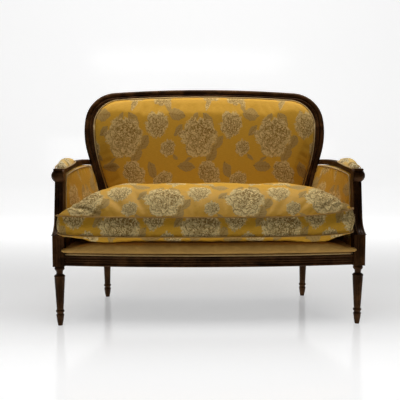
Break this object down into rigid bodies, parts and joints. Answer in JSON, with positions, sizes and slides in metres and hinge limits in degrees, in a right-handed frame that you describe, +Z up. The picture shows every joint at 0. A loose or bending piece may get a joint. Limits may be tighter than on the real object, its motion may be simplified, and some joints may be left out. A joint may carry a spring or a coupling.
{
  "type": "two-seater sofa",
  "caption": "Two-seater settee with a dark carved wood frame, turned front legs, open scroll arms, padded back and sides and a loose seat cushion.",
  "frame": {"origin": "on the floor, under the middle of the sofa's length and depth", "axes": "+X to the right seen from the front, +Y from the front to the back, +Z up"},
  "size_m": [1.256, 0.7231, 0.9762],
  "materials": {
    "dark_wood": "very dark walnut stain, satin lacquer, lighter on worn edges",
    "inner_wood": "unstained beech",
    "damask": "gold damask weave with taupe flowers",
    "plain_gold": "plain gold weave",
    "piping": "gold cloth-covered piping",
    "webbing": "jute webbing",
    "dust_cloth": "black dust cloth",
    "screw_steel": "plain steel"
  },
  "bodies": {
    "frame": {"front_leg_left": "dark_wood", "front_leg_right": "dark_wood", "back_post_left": "dark_wood", "back_post_right": "dark_wood", "crest_rail": "dark_wood", "lower_back_rail": "inner_wood", "seat_rail_front": "dark_wood", "seat_rail_back": "inner_wood", "seat_rail_left": "dark_wood", "seat_rail_right": "dark_wood", "seat_brace": "inner_wood", "corner_glue_blocks": "inner_wood", "corner_screws": "screw_steel", "arm_support_left": "dark_wood", "arm_support_right": "dark_wood", "arm_rail_left": "dark_wood", "arm_rail_right": "dark_wood", "crest_dowels": "inner_wood", "arm_dowels": "inner_wood", "back_pad": "damask", "back_piping": "piping", "back_webbing": "webbing", "outside_back_cover": "damask", "side_pad_left": "damask", "side_pad_right": "damask", "side_piping_left": "piping", "side_piping_right": "piping", "outside_arm_cover_left": "damask", "outside_arm_cover_right": "damask", "arm_pad_left": "damask", "arm_pad_right": "damask", "arm_pad_piping_left": "piping", "arm_pad_piping_right": "piping", "deck_pad": "plain_gold", "deck_piping": "piping", "seat_webbing": "webbing", "dust_cover": "dust_cloth"},
    "cushion": {"seat_cushion": "damask", "cushion_piping_top": "piping", "cushion_piping_bottom": "piping"}
  },
  "joints": [
    {"name": "seat_cushion_lift", "type": "slide", "parent": "frame", "child": "cushion", "axis": [0, 0, 1], "range_m": [0, 0.5]}
  ]
}
